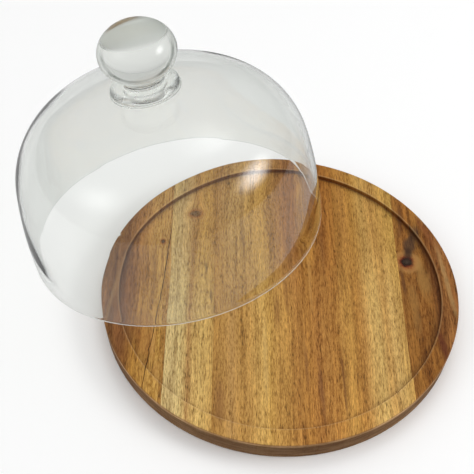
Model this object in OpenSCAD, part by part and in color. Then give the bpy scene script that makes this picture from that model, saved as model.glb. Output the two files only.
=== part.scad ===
// Cake stand dome: a round edge-glued hardwood board with a shallow recess, and a
// blown glass dome with a solid ball knob. The dome is drawn lifted off the board
// and leaning back and to the left; closed, its rim stands in the recess,
// concentric with the board.
// Origin: centre of the board's underside. +Z up. +Y runs away from the cake's
// front, nearly along the grain. Millimetres.

/* [Board] */
// Diameter of the board at its top edge
board_d = 300; // [280:1:360]
// Thickness of the board
board_t = 20.5; // [16:0.5:30]
// How much smaller the underside's radius is than the top's
board_taper = 1.1; // [0.2:0.1:2]
// Diameter of the turned recess that the dome stands in
recess_d = 271; // [262:1:274]
// Depth of the recess below the rim of the board
recess_depth = 4.5; // [2:0.5:8]
// Rounding of the board's top outer edge
top_edge_r = 1.2; // [0.5:0.1:3]
// Rounding of the board's bottom outer edge
bottom_edge_r = 2; // [0.5:0.1:4]
// Rounding of the lip at the edge of the recess
lip_r = 0.8; // [0.3:0.1:1.5]
// Rounding left by the cutter where the recess wall meets its floor
recess_corner_r = 1.2; // [0.4:0.1:1.8]

/* [Staves] */
// Turn of the grain from +Y, anticlockwise from above, in degrees
grain_turn = 2; // [-10:0.5:10]
// First glue line, measured across the grain from the centre
seam_1 = -94; // [-105:1:-85]
// Second glue line
seam_2 = -55; // [-65:1:-45]
// Third glue line
seam_3 = 14; // [5:1:20]
// Fourth glue line
seam_4 = 50; // [40:1:60]
// Fifth glue line
seam_5 = 103; // [90:1:110]

/* [Glass dome] */
// Outside diameter of the dome at its rim
rim_d = 240; // [220:1:244]
// Thickness of the glass
glass_t = 3; // [2:0.1:4]
// Height of the dome's crown above its rim, without the knob
dome_h = 132.3; // [125:0.1:140]
// Radius of the long arc that makes the side wall
wall_arc_r = 328; // [300:1:400]
// Height above the rim at which the wall is widest
belly_z = 15; // [8:1:25]
// Radius of the shoulder, between wall and crown
shoulder_r = 63.5; // [55:0.5:68]
// Radius of the crown
crown_r = 200; // [180:1:220]

/* [Knob] */
// Diameter of the ball
knob_d = 59; // [54:0.5:62]
// Height of the ball, which is a little flattened
knob_h = 46.4; // [44:0.2:50]
// Height of the ball's centre above the dome's rim
knob_z = 162.2; // [160:0.1:166]
// Radius of the arc round the ball's girth
knob_side_r = 17.5; // [16:0.5:20]
// Diameter of the neck that joins the ball to the crown
neck_d = 30; // [27:0.5:33]
// Radius of the round edge of the collar at the foot of the neck
bead_r = 4.3; // [3.6:0.1:4.6]
// Radius of the circle that the centre of that round edge runs on
bead_path_r = 22; // [21.5:0.1:22.6]
// Height of the centre of the round edge above the dome's rim
bead_z = 133.2; // [132.8:0.1:134]

/* [Lid position] */
// X of the rim's centre, with the dome lifted off
lid_x = -88.2; // [-95:0.1:-80]
// Y of the rim's centre
lid_y = 28.4; // [20:0.1:36]
// Height of the rim's centre above the board's underside
lid_z = 64.6; // [62:0.1:90]
// Lean of the dome's axis from upright, in degrees
lid_lean = 12.5; // [8:0.1:14]
// Direction that the dome leans in, from +X towards +Y, in degrees
lid_lean_dir = 137.7; // [120:0.1:150]

/* [Hidden] */
$fn = 360;
small_fn = 96;  // facets of the small round edges
margin = 1;     // overshoot of cutting shapes

// ---- wooden board ----
board_r = board_d / 2;
recess_r = recess_d / 2;
base_r = board_r - board_taper;
floor_z = board_t - recess_depth;
stave_margin = 5;  // overshoot of the stave strips past the board's edge

// Points of a rounded corner, from one direction to another
function corner(centre, r, from, to, steps = 4) =
    [for (i = [0 : steps])
        let (angle = from + (to - from) * i / steps)
        centre + r * [cos(angle), sin(angle)]];

// Radius and height of the turned board: flat underside, slightly tapered side,
// flat rim, and the recess inside a rounded lip
module board_profile() {
    polygon(concat(
        [[0, 0]],
        corner([base_r - bottom_edge_r, bottom_edge_r], bottom_edge_r, -90, 0),
        corner([board_r - top_edge_r, board_t - top_edge_r], top_edge_r, 0, 90),
        corner([recess_r + lip_r, board_t - lip_r], lip_r, 90, 180),
        corner([recess_r - recess_corner_r, floor_z + recess_corner_r],
               recess_corner_r, 0, -90),
        [[0, floor_z]]));
}

// One stave: the strip of the turned board between two glue lines
module stave(from_x, to_x) {
    rotate([0, 0, grain_turn]) intersection() {
        rotate_extrude() board_profile();
        translate([from_x, -board_r - stave_margin, -margin])
            cube([to_x - from_x, board_d + 2 * stave_margin, board_t + 2 * margin]);
    }
}

module stave_1_left() { color([0.66, 0.44, 0.24]) stave(-board_r - stave_margin, seam_1); }
module stave_2() { color([0.80, 0.66, 0.43]) stave(seam_1, seam_2); }
module stave_3_wide() { color([0.73, 0.54, 0.31]) stave(seam_2, seam_3); }
module stave_4() { color([0.64, 0.43, 0.24]) stave(seam_3, seam_4); }
module stave_5() { color([0.75, 0.57, 0.33]) stave(seam_4, seam_5); }
module stave_6_right() { color([0.58, 0.40, 0.23]) stave(seam_5, board_r + stave_margin); }

// ---- outline of the glass: three arcs, each tangent to the next ----
// Points are [radius, height above the rim].
function unit(v) = v / norm(v);

// the wall arc's centre is at the height where the wall is widest
belly_r = rim_d / 2 + wall_arc_r - sqrt(wall_arc_r * wall_arc_r - belly_z * belly_z);
wall_centre = [belly_r - wall_arc_r, belly_z];
crown_centre = [0, dome_h - crown_r];

// The shoulder arc touches both others from inside, so its distances from their
// centres are the differences of the radii. Its centre is found by going along
// the line from the wall's centre to the crown's, then square to it.
wall_gap = wall_arc_r - shoulder_r;
crown_gap = crown_r - shoulder_r;
centres_gap = norm(crown_centre - wall_centre);
centres_dir = unit(crown_centre - wall_centre);
along = (wall_gap * wall_gap - crown_gap * crown_gap + centres_gap * centres_gap)
    / (2 * centres_gap);
across = sqrt(wall_gap * wall_gap - along * along);
shoulder_centre = wall_centre + along * centres_dir
    + across * [-centres_dir[1], centres_dir[0]];

// directions, from the wall's and crown's centres, in which the arcs touch
wall_touch_dir = unit(shoulder_centre - wall_centre);
crown_touch_dir = unit(shoulder_centre - crown_centre);

// the rim is rounded over by a half circle, and stands on z = 0
rim_sin = (glass_t / 2 - belly_z) / (wall_arc_r - glass_t / 2);
rim_dir = [sqrt(1 - rim_sin * rim_sin), rim_sin];
rim_mid = wall_centre + (wall_arc_r - glass_t / 2) * rim_dir;

shallow_reach = 12;      // room outside the chords of the wall and crown arcs
shoulder_reach = 24;     // room outside the chord of the shoulder arc
crown_box = [200, 300];  // limit of the crown bulge, from the axis outwards
rim_cut_h = 10;          // height of the cut inside the rim

// The part of a circle beyond the chord from one point to another
module bulge(centre, r, from, to, reach) {
    outward = unit([to[1] - from[1], from[0] - to[0]]);
    intersection() {
        translate(centre) circle(r);
        polygon([from, to, to + reach * outward, from + reach * outward]);
    }
}

// The area inside the dome's outline, moved in by inset from the outer surface
module glass_area(inset) {
    foot = wall_centre + (wall_arc_r - inset) * rim_dir;
    wall_top = wall_centre + (wall_arc_r - inset) * wall_touch_dir;
    crown_edge = crown_centre + (crown_r - inset) * crown_touch_dir;
    apex = [0, dome_h - inset];
    polygon([[0, foot[1]], foot, wall_top, crown_edge, apex]);
    bulge(wall_centre, wall_arc_r - inset, foot, wall_top, shallow_reach);
    bulge(shoulder_centre, shoulder_r - inset, wall_top, crown_edge, shoulder_reach);
    intersection() {
        bulge(crown_centre, crown_r - inset, crown_edge, apex, shallow_reach);
        square(crown_box);
    }
}

module dome_profile() {
    difference() {
        glass_area(0);
        glass_area(glass_t);
        // the inner area starts a little higher, so clear the thin layer below it
        translate([0, -margin]) square([rim_mid[0] - glass_t, rim_cut_h]);
    }
    translate(rim_mid) circle(glass_t / 2, $fn = small_fn);
}

// ---- glass lid ----
// Everything on the lid is drawn upright, with the rim's centre at the origin,
// and then put where the lid is.
module on_lid() {
    translate([lid_x, lid_y, lid_z])
        rotate([0, 0, lid_lean_dir]) rotate([0, lid_lean, 0]) children();
}

// The space under the crown's outer surface, near the axis
module under_crown() {
    translate([0, 0, crown_centre[1]]) sphere(crown_r);
}

module dome_shell() {
    color([0.80, 0.86, 0.83, 0.45]) on_lid() rotate_extrude() dome_profile();
}

// Collar: a ring of glass with a flat top and a round edge, fused to the crown
// round the foot of the neck
collar_sink = 6;  // how far the ring starts below bead_z, before the crown is cut off

module neck_collar() {
    neck_r = neck_d / 2;
    color([0.70, 0.80, 0.76, 0.6]) on_lid() difference() {
        rotate_extrude() union() {
            translate([bead_path_r, bead_z]) circle(bead_r, $fn = small_fn);
            translate([neck_r, bead_z - collar_sink])
                square([bead_path_r - neck_r, collar_sink + bead_r]);
        }
        under_crown();
    }
}

// Flattened ball: a side arc and a flatter top and bottom arc, tangent to each other
ball_r = knob_d / 2;
ball_half_h = knob_h / 2;
side_x = ball_r - knob_side_r;  // radius at which the side arc's centre lies
half_h_excess = ball_half_h - knob_side_r;
// distance of each cap arc's centre beyond the ball's centre
cap_offset = (side_x * side_x - half_h_excess * half_h_excess) / (2 * half_h_excess);
cap_r = ball_half_h + cap_offset;
cap_edge_x = side_x * cap_r / (cap_r - knob_side_r);  // where side and cap arcs meet
neck_sink = 8;  // how far the neck starts below the crown's top, and ends below knob_z

module ball_profile() {
    box_z = -ball_half_h - margin;
    box_h = 2 * (ball_half_h + margin);
    intersection() {
        union() {
            translate([side_x, 0]) circle(knob_side_r);
            intersection() {
                translate([0, -cap_offset]) circle(cap_r);
                translate([0, cap_offset]) circle(cap_r);
                translate([0, box_z]) square([cap_edge_x, box_h]);
            }
        }
        translate([0, box_z]) square([ball_r + margin, box_h]);
    }
}

// Solid ball with its neck, fused down on the crown
module ball_knob() {
    color([0.72, 0.78, 0.75, 0.7]) on_lid() difference() {
        union() {
            translate([0, 0, knob_z]) rotate_extrude() ball_profile();
            translate([0, 0, dome_h - neck_sink]) cylinder(h = knob_z - dome_h, d = neck_d);
        }
        under_crown();
    }
}

stave_1_left();
stave_2();
stave_3_wide();
stave_4();
stave_5();
stave_6_right();
dome_shell();
neck_collar();
ball_knob();
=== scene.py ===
"""A round board of six acacia staves with a turned recess, and a glass dome with a ball knob.

The board lies flat on the floor, centred on the Z axis; -X is its left and -Y its near side.
Its staves run along Y, turned by GRAIN. The dome hangs tilted above the board, leaning to the
far left. Sizes are in millimetres and are scaled by MM as the meshes are made.
"""
import math

import bmesh
import bpy
import numpy as np
from mathutils import Matrix, Vector


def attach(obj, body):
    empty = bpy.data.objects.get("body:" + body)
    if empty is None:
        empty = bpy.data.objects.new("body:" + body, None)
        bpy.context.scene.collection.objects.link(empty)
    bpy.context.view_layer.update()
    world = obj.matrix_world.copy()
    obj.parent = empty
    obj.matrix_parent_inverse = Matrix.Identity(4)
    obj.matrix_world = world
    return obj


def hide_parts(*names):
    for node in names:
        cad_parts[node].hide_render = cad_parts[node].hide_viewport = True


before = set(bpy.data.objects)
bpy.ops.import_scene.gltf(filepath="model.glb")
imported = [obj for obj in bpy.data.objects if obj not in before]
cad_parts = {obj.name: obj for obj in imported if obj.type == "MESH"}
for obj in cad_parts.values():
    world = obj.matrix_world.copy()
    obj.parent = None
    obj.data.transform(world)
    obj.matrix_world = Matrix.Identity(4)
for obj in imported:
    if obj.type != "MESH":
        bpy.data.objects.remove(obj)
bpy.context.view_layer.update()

MM = 0.001

# ------------------------------------------------------------------ sizes
# board
BOARD_R, BOARD_T = 150.0, 20.5
TAPER = 1.1                 # how much smaller the underside's radius is
RECESS_R, FLOOR_Z = 135.5, 16.0
GRAIN = math.radians(2.0)   # turn of the staves about Z
SEAMS = [-160.0, -94.0, -55.0, 14.0, 50.0, 103.0, 160.0]   # stave sides, across the board

# dome: the wall, shoulder and crown are arcs that run smoothly into each other
RIM_R, GLASS_T, DOME_H = 120.0, 3.0, 132.3
WALL_R, SHOULDER_R, CROWN_R = 328.0, 63.5, 200.0
BELLY_Z = 15.0              # height of the widest place
OUTLINE_STEPS = 16

# knob and collar
KNOB_A, KNOB_B, KNOB_Z = 29.5, 23.2, 162.2   # half-width, half-height, height of the centre
KNOB_START = 53.0           # degrees below the ball's equator where the waist joins it
NECK_R = 15.0
BEAD_R, BEAD_PATH, BEAD_Z = 4.3, 22.0, 133.2
FILL_TOP, FILL_FOOT = 1.3, 0.6   # radii of the soft hollows above and below the bead

# place of the dome
LID_AT = (-88.2, 28.4, 64.6)
LID_LEAN, LID_DIR = math.radians(12.5), math.radians(137.7)
LID = (Matrix.Translation(Vector(LID_AT) * MM) @ Matrix.Rotation(LID_DIR, 4, "Z")
       @ Matrix.Rotation(LID_LEAN, 4, "Y"))
TURN = Matrix.Rotation(GRAIN, 4, "Z")


# ------------------------------------------------------------------ shader helpers
class Value:
    """A shader socket whose arithmetic adds nodes to its tree."""

    def __init__(self, shader, socket):
        self.shader = shader
        self.socket = socket

    def math(self, operation, *others):
        return self.shader.math(operation, self, *others)

    def __add__(self, other):
        return self.math("ADD", other)

    def __radd__(self, other):
        return self.shader.math("ADD", other, self)

    def __sub__(self, other):
        return self.math("SUBTRACT", other)

    def __rsub__(self, other):
        return self.shader.math("SUBTRACT", other, self)

    def __mul__(self, other):
        return self.math("MULTIPLY", other)

    def __truediv__(self, other):
        return self.math("DIVIDE", other)

    def __pow__(self, other):
        return self.math("POWER", other)

    def __abs__(self):
        return self.math("ABSOLUTE")

    def sqrt(self):
        return self.math("SQRT")

    def max(self, other):
        return self.math("MAXIMUM", other)

    def min(self, other):
        return self.math("MINIMUM", other)

    def step(self, start, end, low=0.0, high=1.0):
        """Smooth step from low at start to high at end; start may be the larger."""
        if start > end:
            start, end, low, high = end, start, high, low
        return self.shader.node("MapRange", {"Value": self, "From Min": start, "From Max": end,
                                             "To Min": low, "To Max": high},
                                "Result", interpolation_type="SMOOTHSTEP")

    def noise(self, scale=1.0, detail=2.0, rough=0.5, distort=0.0):
        return self.shader.node("TexNoise", {"Vector": self, "Scale": scale, "Detail": detail,
                                             "Roughness": rough, "Distortion": distort}, "Fac")

    def xyz(self):
        return self.shader.node("SeparateXYZ", {0: self}, (0, 1, 2))

    def dot(self, direction):
        return self.shader.node("VectorMath", {0: self, 1: direction}, "Value",
                                operation="DOT_PRODUCT")

    def scaled(self, factor):
        return self.shader.node("VectorMath", {0: self, "Scale": factor}, operation="SCALE")


class Shader:
    """The node tree of one material, world or light."""

    def __init__(self, owner):
        owner.use_nodes = True
        self.owner = owner
        self.tree = owner.node_tree
        self.tree.nodes.clear()

    def put(self, socket, value):
        if isinstance(value, Value):
            self.tree.links.new(value.socket, socket)
        elif isinstance(value, tuple) and len(value) == 3 and socket.type == "RGBA":
            socket.default_value = value + (1.0,)
        else:
            socket.default_value = value

    def node(self, kind, inputs=None, output=0, **settings):
        """Add a node. output is one output's key, or a tuple of keys for a list of values."""
        made = self.tree.nodes.new("ShaderNode" + kind)
        for key, value in settings.items():
            setattr(made, key, value)
        for key, value in (inputs or {}).items():
            self.put(made.inputs[key], value)
        if isinstance(output, tuple):
            return [Value(self, made.outputs[key]) for key in output]
        return Value(self, made.outputs[output])

    def math(self, operation, *operands):
        return self.node("Math", dict(enumerate(operands)), operation=operation)

    def coords(self, output="Object"):
        return self.node("TexCoord", output=output)

    def vector(self, x, y, z):
        return self.node("CombineXYZ", {0: x, 1: y, 2: z})

    def mix(self, amount, base, over, blend="MIX"):
        return self.node("Mix", {"Factor": amount, 6: base, 7: over}, 2,
                         data_type="RGBA", blend_type=blend)

    def multiply(self, colour, tint):
        return self.mix(1.0, colour, tint, "MULTIPLY")

    def tint(self, amount, colour, tint):
        """Multiply the colour by a tint, as far as amount says."""
        return self.mix(amount, colour, self.multiply(colour, tint))

    def ramp(self, place, stops):
        """Linear ramp through stops of (position, colour)."""
        made = self.node("ValToRGB", {0: place})
        ramp = made.socket.node.color_ramp
        ramp.interpolation = "LINEAR"
        while len(ramp.elements) > 1:
            ramp.elements.remove(ramp.elements[-1])
        for i, (position, colour) in enumerate(stops):
            stop = ramp.elements[0] if i == 0 else ramp.elements.new(position)
            stop.position = position
            stop.color = tuple(colour) + (1.0,)
        return made

    def bump(self, height, strength, distance):
        return self.node("Bump", {"Strength": strength, "Distance": distance, "Height": height},
                         "Normal")

    def mix_shader(self, amount, base, over):
        return self.node("MixShader", {0: amount, 1: base, 2: over})

    def surface(self, shader, output="OutputMaterial"):
        """Wire up the output node and return the tree's owner."""
        self.node(output, {"Surface": shader}, ())
        return self.owner


def lin(red, green, blue, gain=1.0):
    """8-bit display colour to scene-linear."""
    out = []
    for level in (red, green, blue):
        level /= 255.0
        level = level / 12.92 if level <= 0.04045 else ((level + 0.055) / 1.055) ** 2.4
        out.append(level * gain)
    return tuple(out)


# ------------------------------------------------------------------ mesh helpers
def link(name, data):
    ob = bpy.data.objects.new(name, data)
    bpy.context.scene.collection.objects.link(ob)
    return ob


def mesh_from(name, points, faces, materials):
    """Mesh from points in millimetres."""
    mesh = bpy.data.meshes.new(name)
    mesh.from_pydata([(x * MM, y * MM, z * MM) for x, y, z in points], [], faces)
    for material in materials:
        mesh.materials.append(material)
    return mesh


def face_outward(mesh):
    bm = bmesh.new()
    bm.from_mesh(mesh)
    bmesh.ops.recalc_face_normals(bm, faces=bm.faces)
    bm.to_mesh(mesh)
    bm.free()


def smooth(mesh):
    mesh.polygons.foreach_set("use_smooth", [True] * len(mesh.polygons))


def arc(centre_r, centre_z, radius, start, end, steps):
    """Points on an arc, with its angles in degrees."""
    angles = np.linspace(math.radians(start), math.radians(end), steps + 1)
    return [(centre_r + radius * math.cos(a), centre_z + radius * math.sin(a)) for a in angles]


def band(points, slot=0):
    """Profile points for lathe, all with one material index."""
    return [(r, z, slot) for r, z in points]


def lathe(name, profile, segments, materials, shift=None):
    """Closed solid of revolution. profile is [(r, z, material index of the band up to the next
    point)], closed on itself or ending on the axis at both ends. shift(r, z, theta) moves a
    point along (r, z)."""
    points, rings = [], []
    for r, z, _ in profile:
        if r < 1e-6:
            rings.append([len(points)])
            points.append((0.0, 0.0, z))
            continue
        ring = []
        for i in range(segments):
            theta = 2 * math.pi * i / segments
            r_here, z_here = shift(r, z, theta) if shift else (r, z)
            ring.append(len(points))
            points.append((r_here * math.cos(theta), r_here * math.sin(theta), z_here))
        rings.append(ring)
    faces, slots = [], []
    for k, ring in enumerate(rings):
        after = rings[(k + 1) % len(rings)]
        if len(ring) == 1 and len(after) == 1:
            continue
        for i in range(segments):
            j = (i + 1) % segments
            if len(ring) == 1:
                faces.append((ring[0], after[j], after[i]))
            elif len(after) == 1:
                faces.append((ring[i], ring[j], after[0]))
            else:
                faces.append((ring[i], ring[j], after[j], after[i]))
            slots.append(profile[k][2])
    mesh = mesh_from(name, points, faces, materials)
    mesh.polygons.foreach_set("material_index", slots)
    mesh.validate()
    face_outward(mesh)
    smooth(mesh)
    return link(name, mesh)


# ------------------------------------------------------------------ glass materials
def ball_colour(shader, coords, facing, rise, colour):
    """The ball is greyer above its middle: a painted reflection, a tint set by height and not real
    absorption.
    A dark greenish line inside its lower outline, set by viewing angle, is painted shade that
    stands in for refraction."""
    # painted reflection: the ball's tint changes with height along its axis
    colour = shader.tint(rise.step(-0.004, 0.014), colour, (1.20, 1.20, 1.19))
    # painted shade: a dark ring set by viewing angle
    ring = facing.step(0.29, 0.37) * facing.step(0.50, 0.40)
    broken = coords.noise(scale=55.0).step(0.30, 0.55, low=0.35)
    ring = ring * (rise.step(0.015, 0.002) * broken)
    return shader.mix(ring * 0.92, colour, (0.05, 0.065, 0.05))


def glass_material(name, face_tint, edge_tint, shade, waves, dull=0.0, is_ball=False):
    """Clear soda glass. The tint goes from face_tint to edge_tint with the viewing angle, a
    stand-in for a longer path: nothing is absorbed by length. Shadow rays and diffuse bounces
    pass straight through, dimmed by shade, which keeps what stands under the glass evenly lit.
    waves is the depth of the blown waves and dull the roughness of the smears."""
    shader = Shader(bpy.data.materials.new(name))
    coords = shader.coords()
    facing = shader.node("LayerWeight", {"Blend": 0.35}, "Facing")
    edge = facing ** 2.2
    cloud = coords.noise(scale=14.0, detail=3.0)
    colour = shader.mix(edge, face_tint, edge_tint)
    if is_ball:
        # height above the ball's middle, along the tilted axis, in metres
        centre = LID @ Vector((0, 0, KNOB_Z * MM))
        axis = LID.to_3x3() @ Vector((0, 0, 1))
        rise = coords.dot(tuple(axis)) - centre.dot(axis)
        colour = ball_colour(shader, coords, facing, rise, colour)
    colour = shader.mix(cloud.step(0.35, 0.75, high=0.06), colour, lin(205, 214, 208))

    # a few wiped-off smears
    smear = coords.noise(scale=38.0, detail=4.0, rough=0.6, distort=1.2)
    rough = smear.step(0.55, 0.85, high=0.012) + smear * dull
    if is_ball:
        rough = rough + rise.step(0.008, 0.016, high=0.34)

    # long soft waves from blowing, and rare small bubbles
    wave = coords.noise(scale=26.0, detail=1.0, rough=0.4)
    cell = shader.node("TexVoronoi", {"Vector": coords, "Scale": 190.0}, "Distance", feature="F1")
    bubble = cell.step(0.06, 0.0)
    rare = coords.noise(scale=60.0, detail=0.0).step(0.70, 0.78)
    height = wave * waves + bubble * rare * 0.5
    glass = shader.node("BsdfPrincipled", {
        "Base Color": colour, "Roughness": rough, "IOR": 1.50, "Transmission Weight": 1.0,
        "Normal": shader.bump(height, strength=0.25, distance=0.0006)})
    clear = shader.node("BsdfTransparent", {"Color": (shade, shade * 1.004, shade * 0.995)})
    shadow, diffuse = shader.node("LightPath", output=("Is Shadow Ray", "Is Diffuse Ray"))
    return shader.surface(shader.mix_shader(shadow.max(diffuse), glass, clear))


def fused_material():
    """Where two pieces of glass are fused no surface is left: light passes unchanged."""
    shader = Shader(bpy.data.materials.new("glass_fused_joint"))
    return shader.surface(shader.node("BsdfTransparent"))


glass_shell = glass_material("glass_shell", face_tint=(0.915, 0.927, 0.912),
                             edge_tint=(0.83, 0.85, 0.825), shade=0.99, waves=0.6)
glass_ball = glass_material("glass_ball", face_tint=(0.720, 0.735, 0.707),
                            edge_tint=(0.40, 0.445, 0.395), shade=0.97, waves=0.15, is_ball=True)
glass_bead = glass_material("glass_bead", face_tint=(0.895, 0.925, 0.897),
                            edge_tint=(0.45, 0.54, 0.475), shade=0.98, waves=0.3, dull=0.52)
glass_fused = fused_material()
FUSED = 1   # material index of the fused joint on every glass piece


# ------------------------------------------------------------------ glass outline
def meet(centre_a, radius_a, centre_b, radius_b):
    """The outer one of the two points where two circles cross."""
    centre_a, centre_b = np.array(centre_a), np.array(centre_b)
    gap = float(np.hypot(*(centre_b - centre_a)))
    reach = (radius_a * radius_a - radius_b * radius_b + gap * gap) / (2 * gap)
    rise = math.sqrt(radius_a * radius_a - reach * reach)
    toward = (centre_b - centre_a) / gap
    foot = centre_a + reach * toward
    offset = rise * np.array([-toward[1], toward[0]])
    return max(foot + offset, foot - offset, key=lambda point: point[0])


def heading(vector):
    """Direction of an (r, z) vector, in degrees."""
    return math.degrees(math.atan2(vector[1], vector[0]))


# arc centres, as (r, z)
wall_centre = np.array([RIM_R - math.sqrt(WALL_R ** 2 - BELLY_Z ** 2), BELLY_Z])
crown_centre = np.array([0.0, DOME_H - CROWN_R])
shoulder_centre = meet(wall_centre, WALL_R - SHOULDER_R, crown_centre, CROWN_R - SHOULDER_R)
bead_centre = np.array([BEAD_PATH, BEAD_Z])
top_fill_centre = np.array([NECK_R + FILL_TOP, BEAD_Z + BEAD_R + FILL_TOP])
foot_fill_centre = meet(crown_centre, CROWN_R + FILL_FOOT, bead_centre, BEAD_R + FILL_FOOT)

# angles where one arc hands over to the next
wall_end = heading(shoulder_centre - wall_centre)
shoulder_end = heading(shoulder_centre - crown_centre)
wall_mid_r = WALL_R - GLASS_T / 2
rim_angle = math.degrees(math.asin((GLASS_T / 2 - BELLY_Z) / wall_mid_r))
rim_centre = wall_centre + wall_mid_r * np.array([math.cos(math.radians(rim_angle)),
                                                  math.sin(math.radians(rim_angle))])

neck_top = float(top_fill_centre[1])
# where the hollow below the bead touches the crown
foot_r = float((crown_centre + CROWN_R * (foot_fill_centre - crown_centre)
                / (CROWN_R + FILL_FOOT))[0])


def crown_points(depth, radii):
    """Points at the given radii, at a depth below the crown's outer surface."""
    return [(r, crown_centre[1] + math.sqrt((CROWN_R - depth) ** 2 - r * r)) for r in radii]


def outline(depth):
    """The shell's outline, moved in by depth, from rim to shoulder to the start of the crown."""
    crown_start_r = CROWN_R - depth
    crown_end = 90 - math.degrees(math.asin((foot_r + 4) / crown_start_r))
    return (arc(*wall_centre, WALL_R - depth, rim_angle, wall_end, 2 * OUTLINE_STEPS)
            + arc(*shoulder_centre, SHOULDER_R - depth, wall_end, shoulder_end,
                  3 * OUTLINE_STEPS)[1:]
            + arc(*crown_centre, crown_start_r, shoulder_end, crown_end, OUTLINE_STEPS)[1:])


def depth_below(r, z):
    """Depth of a point below the shell's outer surface."""
    point = np.array([r, z])
    centre, radius = crown_centre, CROWN_R
    if heading(point - wall_centre) < wall_end:
        centre, radius = wall_centre, WALL_R
    elif r > shoulder_centre[0] and heading(point - shoulder_centre) < shoulder_end:
        centre, radius = shoulder_centre, SHOULDER_R
    return radius - float(np.hypot(*(point - centre)))


# ------------------------------------------------------------------ glass pieces
# unevenness of the shell's inner surface: amplitude, lobes around, phase, height per radian
RIPPLES = [(0.20, 3, 0.7, 41.0), (0.13, 5, -1.1, 23.0), (0.08, 8, 2.3, -17.0), (0.05, 2, 0.0, 9.0)]
INNER_CROWN_RADII = [0.0, 4.0, 8.0, 12.0, 14.5, 15.2, 15.8, 16.3, 16.8, 17.4, 18.0, 20.0, 24.0]


def ripple(r, z, theta):
    """Only the inner surface, which a mould doesn't touch, is uneven."""
    if depth_below(r, z) < GLASS_T - 0.02:
        return r, z
    fade = min(1.0, max(0.0, (z - 2.0) / 14.0))
    wave = sum(size * math.sin(lobes * theta + phase + z / length)
               for size, lobes, phase, length in RIPPLES)
    return r + wave * fade, z


def build_shell():
    profile = band(arc(*rim_centre, GLASS_T / 2, 180 + rim_angle, 360 + rim_angle, 12))
    profile += band(outline(0.0)[1:])
    outer_crown = [foot_r + 2, foot_r + 1, foot_r, 20.0, NECK_R, 12.0, 7.0, 0.0]
    for r, z in crown_points(0.0, outer_crown):
        profile.append((r, z, FUSED if r <= foot_r + 1e-9 else 0))
    # the inner surface starts on the axis again, 0.9 lower under the neck
    for r, z in crown_points(GLASS_T, INNER_CROWN_RADII):
        blend = min(1.0, max(0.0, (r - 14.5) / 3.5))
        profile.append((r, z - 0.9 * (1 - blend ** 2 * (3 - 2 * blend)), 0))
    inner = outline(GLASS_T)[:0:-1]
    profile += band(point for point in inner if point[0] > 25.0)
    return lathe("dome_shell_glass", profile, 288, [glass_shell, glass_fused], ripple)


def build_collar():
    """The bead around the neck, with a soft hollow above and below it."""
    bead_top = 90.0
    bead_foot = heading(foot_fill_centre - bead_centre)
    crown_side = heading(crown_centre - foot_fill_centre)
    profile = band(crown_points(0.0, [NECK_R]), FUSED)
    profile += band(arc(*top_fill_centre, FILL_TOP, 180, 180 + bead_top, 10))
    profile += band(arc(*bead_centre, BEAD_R, bead_top, bead_foot, 40))
    profile += band(arc(*foot_fill_centre, FILL_FOOT, 180 + bead_foot, crown_side, 10)[1:-1])
    profile += band(crown_points(0.0, [foot_r]), FUSED)
    return lathe("neck_collar_glass", profile, 192, [glass_bead, glass_fused])


def build_knob():
    waist_steps, ball_steps = 14, 60
    profile = band(crown_points(0.0, [0.0, 7.0, 12.0, NECK_R]), FUSED)
    profile.append((NECK_R, neck_top, 0))
    # a soft waist, a Bezier curve, runs from the bead up into the underside of the ball
    start = math.radians(KNOB_START)
    waist_end = np.array([KNOB_A * math.cos(start), KNOB_Z - KNOB_B * math.sin(start)])
    tangent = np.array([-KNOB_A * math.sin(start), -KNOB_B * math.cos(start)])
    tangent /= np.hypot(*tangent)
    end_handle = waist_end + 1.9 * tangent
    waist_start = np.array([NECK_R, neck_top])
    start_handle = np.array([NECK_R - 0.05, neck_top + 1.6])
    for i in range(1, waist_steps + 1):
        s = i / waist_steps
        point = ((1 - s) ** 3 * waist_start + 3 * s * (1 - s) ** 2 * start_handle
                 + 3 * s * s * (1 - s) * end_handle + s ** 3 * waist_end)
        profile.append((float(point[0]), float(point[1]), 0))
    for i in range(1, ball_steps + 1):
        angle = math.radians(-KNOB_START + (90 + KNOB_START) * i / ball_steps)
        r = 0.0 if i == ball_steps else KNOB_A * math.cos(angle)
        profile.append((r, KNOB_Z + KNOB_B * math.sin(angle), 0))
    return lathe("ball_knob_glass", profile, 192, [glass_ball, glass_fused])


for build, node, slot in ((build_shell, "dome_shell", "dome_glass"),
                          (build_collar, "neck_collar", "collar_glass"),
                          (build_knob, "ball_knob", "knob_glass")):
    piece = build()
    piece.data.transform(LID)
    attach(piece, "glass_dome")
    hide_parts(node)

# ------------------------------------------------------------------ wood materials
GAIN = 0.96         # albedo for a display tone, under this scene's light
TONE_SPAN = 155.0   # the tone ramps reach this far to each side of the board's middle

# colours of a knot, from its heart (0) out to its halo (1)
KNOT_COLOURS = [(0.0, lin(80, 66, 56)), (0.18, lin(58, 44, 34)), (0.30, lin(46, 26, 16)),
                (0.40, lin(112, 48, 22)), (0.50, lin(150, 92, 44)), (0.75, lin(176, 130, 72)),
                (1.0, lin(162, 118, 62))]


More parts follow.
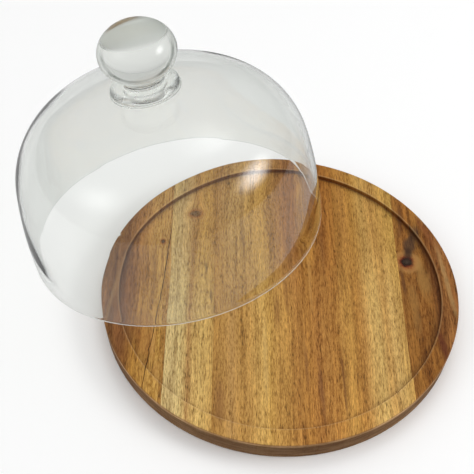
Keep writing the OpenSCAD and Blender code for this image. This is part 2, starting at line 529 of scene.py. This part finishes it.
class Wood(Shader):
    """Oiled acacia, with places in millimetres: across and along the staves, height above the
    underside, and radius from the board's axis. In its methods, pairs given to step are such
    places, or levels of a noise."""

    def __init__(self, name, seed):
        super().__init__(bpy.data.materials.new(name))
        self.seed = seed
        self.point = self.coords().scaled(1000.0)
        self.across = self.point.dot((math.cos(GRAIN), math.sin(GRAIN), 0.0))
        self.along = self.point.dot((-math.sin(GRAIN), math.cos(GRAIN), 0.0))
        self.height = self.point.xyz()[2]
        self.radius = (self.across * self.across + self.along * self.along).sqrt()

    def fibres(self, across, fine, drawn, seed_by, detail=2.0, rough=0.5, deep=None):
        """Noise drawn out along the grain. fine and drawn are its scales across and along,
        deep its scale in height, and seed_by sets its own slice of the noise."""
        layer = self.seed * seed_by
        if deep:
            layer = self.height * deep + layer
        place = self.vector(across * fine, self.along * drawn, layer)
        return place.noise(detail=detail, rough=rough)

    def wandering(self, knots):
        """Place across, bent where the grain wanders and where knots push it aside."""
        slow = self.fibres(self.across, 0.011, 0.0055, 3.1)
        quick = self.fibres(self.across, 0.045, 0.017, 5.7)
        bent = self.across + ((slow - 0.5) * 8.0 + (quick - 0.5) * 3.4)
        for at_across, at_along, half_width, half_length, _ in knots:
            aside, ahead = self.across - at_across, self.along - at_along
            reach = (aside / (half_width * 2.3)) ** 2.0 + (ahead / (half_length * 2.6)) ** 2.0
            push = (reach * -1.0).math("EXPONENT")
            bent = bent - aside * (push * 0.82)
        return bent

    def tones(self, bent, stops, gain):
        return self.ramp((bent + TONE_SPAN) / (2 * TONE_SPAN),
                         [((place + TONE_SPAN) / (2 * TONE_SPAN), lin(*tone, gain))
                          for place, tone in stops])

    def add_knots(self, colour, knots):
        """Dark heart, brown ring, darker halo drawn out along the grain."""
        for at_across, at_along, half_width, half_length, strength in knots:
            wobble = ((self.point.noise(scale=0.13, detail=3.0, rough=0.6) - 0.5) * 1.1
                      + (self.point.noise(scale=0.55, rough=0.6) - 0.5) * 0.6)
            away = (((self.across - at_across) / half_width) ** 2.0
                    + ((self.along - at_along) / half_length) ** 2.0).sqrt() + wobble
            rings = self.ramp(away / 2.6, KNOT_COLOURS)
            colour = self.mix(away.step(2.5, 1.3) * strength, colour, rings)
        return colour

    def add_smudges(self, colour, smudges):
        for at_across, at_along, half_width, half_length, tilt, tone, strength in smudges:
            aside, ahead = self.across - at_across, self.along - at_along
            cos, sin = math.cos(math.radians(tilt)), math.sin(math.radians(tilt))
            x = aside * (cos / half_width) + ahead * (sin / half_width)
            y = aside * (-sin / half_length) + ahead * (cos / half_length)
            place = self.vector(self.across * 0.16, self.along * 0.06, at_across)
            wobble = (place.noise(detail=3.0, rough=0.6) - 0.5) * 1.3
            away = (x * x + y * y).sqrt() + wobble
            colour = self.mix(away.step(1.25, 0.35) * strength, colour,
                              self.mix(0.75, colour, lin(*tone)))
        return colour

    def add_end_grain_and_painted_light(self, colour):
        """The recess wall and the board's side are end grain for most of their length. The recess
        wall's dark tint is partly darker end grain and partly painted shade; the side's paler left
        and right is painted light.
        Returns the colour and the mask of the side."""
        across, along, height = self.across, self.along, self.height
        normal = self.node("NewGeometry", output="True Normal")
        upright = abs(normal.xyz()[2]).step(0.80, 0.35)
        recess_wall = upright * self.radius.step(141.0, 139.0)
        side = upright * self.radius.step(146.0, 147.5)
        # darker end grain and painted shade: the recess wall is tinted dark brown
        colour = self.tint(recess_wall * 0.85, colour, (0.36, 0.22, 0.13))
        rings = self.vector(across * 0.045, along * 0.045, height * 0.62)
        rings = rings.noise(detail=4.0, rough=0.6)
        grit = self.vector(across * 0.5, along * 0.5, height * 0.9).noise(rough=0.6)
        side_colour = self.mix(rings.step(0.36, 0.66, high=0.8) + (grit - 0.5) * 0.9,
                               lin(152, 117, 77, GAIN), lin(220, 184, 140, GAIN))
        # painted light: the side is paler towards the left and right
        side_colour = side_colour.scaled(abs(across).step(30.0, 110.0, low=1.0, high=1.38))
        return self.mix(side * 0.86, colour, side_colour), side

    def add_wear_and_painted_shade(self, colour):
        """Dirt and oil gather in the recess corner, and painted shade darkens it further; the
        rounded edges are rubbed paler, and the outer edge is darkened just below the top."""
        radius, height = self.radius, self.height
        # dirt and painted shade: the recess corner is darkened
        corner = ((radius.step(133.6, 135.3, high=0.75) + radius.step(129.0, 135.0, high=0.25))
                  * height.step(18.5, 16.2))
        colour = self.mix(corner * 0.62, colour, lin(84, 48, 22))
        outer_edge = radius.step(148.3, 149.5) * height.step(18.6, 19.8) * 0.2
        recess_edge = (radius.step(137.2, 136.2) * radius.step(134.8, 135.6)
                       * height.step(19.2, 20.2))
        rubbed = outer_edge.max(recess_edge)
        colour = self.mix(rubbed * 0.22, colour, lin(206, 170, 120, GAIN))
        # the outer edge is darker just below the top
        darker_below_top = radius.step(148.7, 149.5) * height.step(20.48, 20.1)
        return self.tint(darker_below_top * 0.55, colour, (0.50, 0.40, 0.31))


def wood_material(left, right, node, seed, fleck, streak, reddish, near, far,
                  knots=(), smudges=(), lift=1.0):
    """One stave's wood, between its sides left and right. fleck is the strength of the pores,
    streak that of the bands, reddish that of their red, and lift brightens the far end."""
    wood = Wood("wood_" + node, seed)
    bent = wood.wandering(knots)
    colour = wood.mix(wood.along.step(-35.0, 75.0), wood.tones(bent, near, GAIN),
                      wood.tones(bent, far, GAIN * lift))
    colour = wood.multiply(colour, (1.02, 1.0, 0.86))
    colour = colour.scaled(wood.along.step(-78.0, -128.0, low=1.0, high=1.10))

    # soft broad bands, then fibres of several widths, all long in the grain's direction
    broad = wood.fibres(bent, 0.035, 0.004, 1.0)
    bands = wood.fibres(bent, 0.16, 0.0065, 2.0, detail=3.0, rough=0.55, deep=0.03)
    narrow = wood.fibres(bent, 0.42, 0.030, 7.0, rough=0.55, deep=0.08)
    thin = wood.fibres(bent, 1.35, 0.17, 9.0, rough=0.65, deep=0.2)
    short = wood.fibres(bent, 1.15, 0.42, 15.0, rough=0.6)
    long = wood.fibres(bent, 0.80, 0.012, 19.0, detail=1.0)
    tone = ((broad - 0.5) * (0.24 * streak)
            + ((bands - 0.5) * (1.05 * streak) + (narrow - 0.5) * (0.88 * streak)))
    # thin fibres show more as dark lines than as pale ones
    lines = thin - 0.5
    lines = lines.min(0.0) * 2.9 + lines.max(0.0) * 1.0
    tone = tone + (lines + 0.06 + (long - 0.5) * 0.60 + (short - 0.5) * 0.62)
    colour = colour.scaled(1.0 + tone)
    # darker bands and fibres are redder
    colour = wood.tint(tone.step(0.06, -0.22) * (0.80 * reddish + 0.15), colour,
                       (1.02, 0.84, 0.60))

    # open pores: short dark dashes along the grain, in drifts
    coarse = wood.fibres(bent, 1.60, 0.22, 11.0, detail=1.0, rough=0.4)
    fine = wood.fibres(bent, 2.6, 0.42, 13.0, detail=1.0, rough=0.4)
    drift = wood.fibres(bent, 0.09, 0.018, 17.0).step(0.32, 0.66, low=0.35)
    pores = (coarse.step(0.545, 0.70) * drift).max(fine.step(0.56, 0.72) * drift * 0.7)
    colour = wood.tint(pores * (0.78 * fleck), colour, (0.43, 0.28, 0.15))

    colour = wood.add_knots(colour, knots)
    colour = wood.add_smudges(colour, smudges)
    glue = (wood.across - left).step(0.40, 0.08).max((right - wood.across).step(0.40, 0.08))
    colour = wood.mix(glue * 0.16, colour, lin(92, 60, 34))
    colour, side = wood.add_end_grain_and_painted_light(colour)
    colour = wood.add_wear_and_painted_shade(colour)

    rough = (0.40 + narrow * 0.12) + (pores * 0.16 + side * 0.14)
    relief = thin * 0.5 + (narrow * 0.35 + pores * -1.3)
    return wood.surface(wood.node("BsdfPrincipled", {
        "Base Color": colour, "Roughness": rough, "IOR": 1.45, "Specular IOR Level": 0.22,
        "Normal": wood.bump(relief, strength=0.55, distance=0.00012)}))


def crack_material():
    shader = Shader(bpy.data.materials.new("crack_dark"))
    mottle = shader.coords().noise(scale=400.0, detail=3.0)
    return shader.surface(shader.node("BsdfPrincipled", {
        "Base Color": shader.mix(mottle, lin(62, 38, 20), lin(96, 64, 34)), "Roughness": 0.9}))


crack_dark = crack_material()

# near, far: (place across, display colour) at the stave's near and far ends
# knots: (across, along, half-width, half-length, strength)
# smudges: (across, along, half-width, half-length, tilt in degrees, display colour, strength)
STAVES = [
    dict(node="stave_1_left", seed=1.3, fleck=0.60, streak=1.45, reddish=0.9, lift=1.2,
         near=[(-150, (132, 90, 51)), (-135, (111, 72, 39)), (-129, (121, 77, 41)),
               (-123, (140, 95, 46)), (-117, (160, 116, 53)), (-106, (173, 131, 68)),
               (-99, (190, 150, 80)), (-94, (176, 135, 78))],
         far=[(-150, (119, 86, 48)), (-130, (116, 78, 42)), (-118, (143, 101, 57)),
              (-105, (165, 128, 73)), (-94, (161, 124, 74))],
         knots=[(-101.0, 50.0, 1.6, 2.3, 0.75)],
         smudges=[(-112, -50, 9, 26, 12, (150, 96, 48), 0.55),
                  (-123, -49, 6, 16, -20, (120, 76, 40), 0.5),
                  (-104.5, -48, 2.6, 26, 3, (190, 140, 78), 0.6),
                  (-100, -84, 3.2, 16, 0, (186, 136, 74), 0.55),
                  (-133, 10, 2.4, 44, -6, (104, 70, 38), 0.6),
                  (-140, -10, 2.0, 38, -8, (168, 130, 80), 0.55),
                  (-108, 20, 2.0, 50, 2, (142, 102, 56), 0.5)]),
    dict(node="stave_2", seed=2.9, fleck=0.62, streak=0.9, reddish=0.5, lift=1.2,
         near=[(-94, (198, 174, 126)), (-87, (192, 168, 122)), (-81, (199, 175, 124)),
               (-77.5, (195, 165, 111)), (-75, (174, 134, 85)), (-72, (197, 163, 105)),
               (-66, (206, 173, 111)), (-60, (192, 157, 96)), (-55, (179, 141, 81))],
         far=[(-94, (171, 144, 97)), (-87, (175, 149, 105)), (-80, (167, 136, 90)),
              (-74, (157, 118, 65)), (-66, (168, 130, 69)), (-60, (160, 121, 64)),
              (-55, (150, 111, 60))],
         knots=[(-74.0, 85.0, 4.2, 3.4, 0.60)],
         smudges=[(-62.4, 24, 1.2, 7.5, 4, (84, 58, 36), 0.85),
                  (-57.6, -8, 1.1, 7.5, 3, (84, 58, 36), 0.75),
                  (-75, 40, 2.0, 60, 0, (150, 112, 66), 0.45)]),
    dict(node="stave_3_wide", seed=4.1, fleck=0.68, streak=1.0, reddish=0.55, lift=1.2,
         near=[(-55, (167, 125, 67)), (-47, (172, 131, 73)), (-40, (171, 132, 80)),
               (-33, (178, 136, 75)), (-26, (179, 138, 78)), (-15, (198, 160, 94)),
               (-9, (192, 151, 82)), (-3, (185, 142, 78)), (4, (178, 134, 71)),
               (14, (179, 128, 67))],
         far=[(-55, (155, 116, 65)), (-40, (172, 138, 87)), (-28, (170, 135, 82)),
              (-12, (175, 136, 73)), (-3, (159, 117, 64)), (5, (146, 101, 58)),
              (14, (146, 98, 53))],
         smudges=[(-3, -22, 3.0, 20, 2, (120, 74, 36), 0.55),
                  (5, -4, 2.4, 26, 3, (120, 72, 36), 0.5),
                  (-49, -112, 5.5, 22, 2, (118, 72, 42), 0.6),
                  (-30, 70, 2.0, 40, 1, (134, 98, 60), 0.5),
                  (-13, -70, 2.2, 46, 1, (206, 170, 104), 0.5),
                  (10, 60, 2.0, 50, 1, (120, 84, 48), 0.5)]),
    dict(node="stave_4", seed=6.7, fleck=0.80, streak=1.1, reddish=0.8, lift=1.1,
         near=[(14, (166, 119, 61)), (22, (166, 117, 57)), (30, (168, 117, 60)),
               (38, (173, 124, 64)), (44, (171, 121, 60)), (50, (179, 132, 68))],
         far=[(14, (148, 96, 48)), (24, (169, 122, 54)), (33, (155, 107, 47)),
              (40, (141, 90, 36)), (50, (154, 105, 46))],
         smudges=[(31, -100, 2.2, 26, 3, (118, 76, 48), 0.6),
                  (20, -75, 1.8, 30, 2, (122, 78, 44), 0.5),
                  (49.0, -95, 1.2, 36, 2, (104, 64, 36), 0.7),
                  (26, 10, 1.6, 40, 1, (186, 140, 78), 0.45),
                  (38, 50, 2.0, 44, 1, (112, 70, 34), 0.5)]),
    dict(node="stave_5", seed=8.3, fleck=0.52, streak=0.95, reddish=0.45,
         near=[(50, (184, 137, 72)), (57, (180, 135, 69)), (64, (181, 131, 66)),
               (69, (183, 137, 76)), (75, (195, 158, 97)), (81, (201, 167, 105)),
               (87, (192, 150, 89)), (93, (205, 169, 108)), (99, (190, 153, 91)),
               (103, (190, 149, 84))],
         far=[(50, (158, 110, 48)), (58, (170, 122, 61)), (66, (168, 123, 58)),
              (75, (181, 143, 81)), (84, (174, 132, 72)), (94, (181, 141, 75)),
              (103, (184, 146, 76))]),
    dict(node="stave_6_right", seed=10.9, fleck=0.55, streak=1.6, reddish=0.9,
         near=[(103, (140, 94, 42)), (111, (143, 96, 41)), (119, (144, 95, 41)),
               (126, (143, 95, 40)), (132, (119, 74, 34)), (139, (147, 99, 53)),
               (150, (140, 94, 51))],
         far=[(103, (142, 98, 45)), (112, (139, 90, 39)), (122, (148, 101, 44)),
              (130, (125, 76, 34)), (140, (147, 98, 51)), (150, (142, 92, 49))],
         knots=[(111.5, 31.8, 5.2, 5.6, 1.0)],
         smudges=[(116.5, 52, 6.0, 19, -16, (66, 50, 40), 1.0),
                  (113.0, 40, 3.6, 9, -10, (52, 34, 24), 0.9),
                  (106.0, 9, 1.9, 17, 2, (92, 56, 30), 0.85),
                  (109, 78, 2.2, 20, -4, (96, 58, 32), 0.7),
                  (131, -59, 3.2, 17, 8, (96, 44, 24), 0.9),
                  (138.5, 40, 2.6, 14, -8, (110, 58, 30), 0.75),
                  (120, 30, 5.0, 12, 0, (172, 128, 68), 0.7),
                  (124, 12, 6.0, 22, 4, (160, 122, 64), 0.6),
                  (113, -16, 4.5, 34, 1, (156, 116, 60), 0.55),
                  (141.5, 12, 2.6, 46, 6, (186, 148, 92), 0.7),
                  (146.5, -8, 1.6, 40, 5, (156, 96, 46), 0.6),
                  (131, 62, 3.0, 22, 24, (150, 92, 48), 0.6),
                  (125, 84, 2.4, 20, 30, (176, 140, 86), 0.6)]),
]

# the drying crack of the left stave, as (across, along), from its far end to its near end
CRACK_LINE = [
    (-94.3, 74), (-94.5, 66), (-94.9, 58), (-95.7, 50), (-96.7, 41), (-97.3, 33), (-98.5, 22),
    (-99.1, 12), (-100.3, 1), (-100.9, -9), (-102.1, -20), (-102.9, -31), (-104.0, -42),
    (-104.9, -52), (-106.7, -62), (-106.6, -70), (-108.3, -80), (-108.2, -90), (-109.3, -99),
    (-109.2, -104)]


# ------------------------------------------------------------------ board
def disc_mesh():
    """The whole board before it is cut into staves."""
    foot, edge, lip, cove = 2.0, 1.2, 0.8, 1.2   # corner radii
    section = band([(r, 0.0) for r in (0.0, 40.0, 80.0, 120.0)]
                   + arc(BOARD_R - TAPER - foot, foot, foot, -90, 0, 8)
                   + arc(BOARD_R - edge, BOARD_T - edge, edge, 0, 90, 8)
                   + [(143.0, BOARD_T)]
                   + arc(RECESS_R + lip, BOARD_T - lip, lip, 90, 180, 6)
                   + arc(RECESS_R - cove, FLOOR_Z + cove, cove, 0, -90, 6)
                   + [(r, FLOOR_Z) for r in (120.0, 90.0, 60.0, 30.0, 0.0)])
    disc = lathe("disc", section, 480, [])
    mesh = disc.data
    bpy.data.objects.remove(disc)
    return mesh


def build_stave(name, disc, left, right, material):
    bm = bmesh.new()
    bm.from_mesh(disc)
    for place, outward in ((left, -1), (right, 1)):
        if abs(place) > BOARD_R:
            continue
        cut = bmesh.ops.bisect_plane(bm, geom=bm.verts[:] + bm.edges[:] + bm.faces[:], dist=1e-7,
                                     plane_co=(place * MM, 0, 0), plane_no=(outward, 0, 0),
                                     clear_outer=True)
        edges = [item for item in cut["geom_cut"] if isinstance(item, bmesh.types.BMEdge)]
        bmesh.ops.edgeloop_fill(bm, edges=edges)
    bmesh.ops.remove_doubles(bm, verts=bm.verts, dist=1e-8)
    bmesh.ops.recalc_face_normals(bm, faces=bm.faces)
    bmesh.ops.transform(bm, matrix=TURN, verts=bm.verts)
    mesh = bpy.data.meshes.new(name)
    bm.to_mesh(mesh)
    bm.free()
    mesh.materials.append(material)
    smooth(mesh)
    return link(name, mesh)


def crack_cutter():
    """A thin irregular wedge along the drying crack, open above the board's top."""
    rng = np.random.default_rng(7)
    path = []
    for (x0, y0), (x1, y1) in zip(CRACK_LINE[:-1], CRACK_LINE[1:]):
        for s in (0.0, 0.34, 0.67):
            path.append((x0 + (x1 - x0) * s + rng.normal(0, 0.13), y0 + (y1 - y0) * s))
    path.append(CRACK_LINE[-1])
    last = len(path) - 1
    points, faces = [], []
    for i, (x, y) in enumerate(path):
        s = i / last
        half = 0.30 * min(1.0, 7 * s, 7 * (1 - s)) * (0.75 + 0.5 * rng.random()) + 0.03
        for aside, z in ((-half, 22.0), (-half * 0.8, 15.6), (-0.05, 13.6),
                         (half * 0.8, 15.6), (half, 22.0)):
            points.append((x + aside, y, z))
    for i in range(last):
        for k in range(5):
            j = (k + 1) % 5
            faces.append((i * 5 + k, i * 5 + j, (i + 1) * 5 + j, (i + 1) * 5 + k))
    faces.append(tuple(range(4, -1, -1)))
    faces.append(tuple(range(last * 5, last * 5 + 5)))
    mesh = mesh_from("crack", points, faces, [crack_dark])
    mesh.transform(TURN)
    face_outward(mesh)
    return link("crack", mesh)


def chip_cutter():
    """A lump that knocks a small blunt chip out of the left stave's outer edge."""
    centre_r, centre_z, angle = 151.0, 20.0, math.radians(161.2)
    bm = bmesh.new()
    bmesh.ops.create_icosphere(bm, subdivisions=3, radius=1.0)
    rng = np.random.default_rng(11)
    for vert in bm.verts:
        swell = 1.0 + 0.10 * rng.normal()
        x, y, z = vert.co
        vert.co = Vector((x * 3.2 * swell, y * 2.6 * swell, z * 4.4 * swell))
    mesh = bpy.data.meshes.new("chip")
    bm.to_mesh(mesh)
    bm.free()
    mesh.transform(Matrix.Scale(MM, 4))
    place = (centre_r * MM * math.cos(angle), centre_r * MM * math.sin(angle), centre_z * MM)
    mesh.transform(Matrix.Translation(place) @ Matrix.Rotation(angle, 4, "Z"))
    return link("chip", mesh)


def carve(ob, cutter):
    """Cut the cutter's shape out of the object for good."""
    cut = ob.modifiers.new("cut", "BOOLEAN")
    cut.operation = "DIFFERENCE"
    cut.solver = "EXACT"
    cut.object = cutter
    cut.material_mode = "TRANSFER"
    graph = bpy.context.evaluated_depsgraph_get()
    carved = bpy.data.meshes.new_from_object(ob.evaluated_get(graph))
    uncut = ob.data
    ob.modifiers.clear()
    ob.data = carved
    bpy.data.meshes.remove(uncut)
    bpy.data.objects.remove(cutter)


disc = disc_mesh()
for i, looks in enumerate(STAVES):
    node, left, right = looks["node"], SEAMS[i], SEAMS[i + 1]
    stave = build_stave("wood_" + node, disc, left, right, wood_material(left, right, **looks))
    if node == "stave_1_left":
        for cutter in (crack_cutter(), chip_cutter()):
            carve(stave, cutter)
    stave.data.set_sharp_from_angle(angle=math.radians(28))
    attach(stave, "board")
    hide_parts(node)


# ------------------------------------------------------------------ stage
def floor_material():
    """White, but darker in reflections, most of all towards the right: painted shade that stands
    in for light falling off across the floor.
    """
    shader = Shader(bpy.data.materials.new("floor_white"))
    glossy, through = shader.node("LightPath", output=("Is Glossy Ray", "Is Transmission Ray"))
    mirrored = glossy * (1.0 - through)
    # painted shade, seen only in reflections: greyer towards the right
    grey = shader.coords().xyz()[0].step(-0.32, 0.12, low=0.55, high=0.14)
    colour = shader.mix(mirrored, (0.985, 0.985, 0.985), shader.vector(grey, grey, grey))
    return shader.surface(shader.node("BsdfPrincipled", {
        "Base Color": colour, "Roughness": 0.7, "Specular IOR Level": 0.1}))


def build_floor():
    half, drop = 8, -0.0002   # metres
    mesh = bpy.data.meshes.new("floor")
    mesh.from_pydata([(-half, -half, drop), (half, -half, drop), (half, half, drop),
                      (-half, half, drop)], [], [(0, 1, 2, 3)])
    floor = link("floor", mesh)
    mesh.materials.append(floor_material())


def build_world():
    """A plain backdrop for the camera, and a grey sky, brighter above, for everything else.
    Through glass the sky is whiter with a dark flag at each side; reflections see it dimmer."""
    world = bpy.data.worlds.new("studio")
    bpy.context.scene.world = world
    shader = Shader(world)
    side, _, up = shader.coords("Generated").xyz()
    greys = [(0.0, 0.40), (0.5, 0.46), (0.58, 0.48), (0.75, 0.62), (1.0, 0.86)]
    sky = shader.ramp(up * 0.5 + 0.5, [(place, (grey,) * 3) for place, grey in greys])
    camera, glossy, through = shader.node(
        "LightPath", output=("Is Camera Ray", "Is Glossy Ray", "Is Transmission Ray"))
    flags = abs(side).step(0.80, 0.93) * abs(up - 0.10).step(0.30, 0.12)
    seen_through = shader.mix(flags * 0.8, shader.mix(0.6, sky, (0.86, 0.87, 0.86)),
                              (0.06, 0.06, 0.055))
    strength = shader.node("Mix", {"Factor": glossy * (1.0 - through), 2: 1.06, 3: 0.22},
                           data_type="FLOAT")
    light = shader.node("Background", {"Color": shader.mix(through, sky, seen_through),
                                       "Strength": strength})
    backdrop = shader.node("Background", {"Color": (0.96, 0.96, 0.96)})
    shader.surface(shader.mix_shader(camera, light, backdrop), "OutputWorld")


LIGHT_TARGET = Vector((-0.03, 0.03, 0.1))


def softbox(name, azimuth, elevation, distance, width, height, power, reflected=True):
    """Area light that fades to its edges, in metres and degrees. Azimuth 0 is towards -Y, where
    the camera is, and 90 is +X. power is per unit of area and of pi."""
    turn, lift = math.radians(azimuth), math.radians(elevation)
    back = Vector((math.sin(turn) * math.cos(lift), -math.cos(turn) * math.cos(lift),
                   math.sin(lift)))
    data = bpy.data.lights.new(name, "AREA")
    data.shape = "RECTANGLE"
    data.size, data.size_y = width, height
    data.energy = power * math.pi * width * height
    ob = link(name, data)
    ob.location = LIGHT_TARGET + back * distance
    ob.rotation_mode = "QUATERNION"
    ob.rotation_quaternion = (-back).to_track_quat("-Z", "Y")
    ob.visible_glossy = reflected
    shader = Shader(data)
    x, y, _ = shader.node("NewGeometry", output="Parametric").xyz()
    from_middle = ((x - 0.5) ** 2.0 + (y - 0.5) ** 2.0).sqrt()
    emission = shader.node("Emission", {"Strength": from_middle.step(0.5, 0.0) ** 1.4})
    shader.surface(emission, "OutputLight")


build_floor()
build_world()
softbox("key_top", azimuth=165, elevation=62, distance=4.0, width=3.2, height=3.2, power=2.75,
        reflected=False)
softbox("left_box", azimuth=-64, elevation=37, distance=3.0, width=2.8, height=2.6, power=1.5)
softbox("right_box", azimuth=87, elevation=32, distance=3.0, width=2.7, height=2.0, power=8.0)

# ------------------------------------------------------------------ camera and render
scene = bpy.context.scene
camera_data = bpy.data.cameras.new("camera")
camera_data.lens, camera_data.sensor_width = 74.0506329, 36.0
camera_data.clip_start, camera_data.clip_end = 0.01, 50
camera = link("camera", camera_data)
camera.matrix_world = Matrix(((0.9989741, -0.0425612, 0.0154667, -0.0253073),
                              (0.0424500, 0.7611961, -0.6471310, -0.5028942),
                              (0.0157695, 0.6471237, 0.7622219, 0.6742440),
                              (0, 0, 0, 1)))
scene.camera = camera

scene.view_settings.view_transform = "Standard"
scene.view_settings.look = "None"
cycles = scene.cycles
cycles.max_bounces = 20
cycles.transmission_bounces = 18
cycles.glossy_bounces = 8
cycles.diffuse_bounces = 4
cycles.transparent_max_bounces = 24
cycles.caustics_reflective = False
cycles.caustics_refractive = False
cycles.sample_clamp_indirect = 6.0
cycles.use_denoising = True
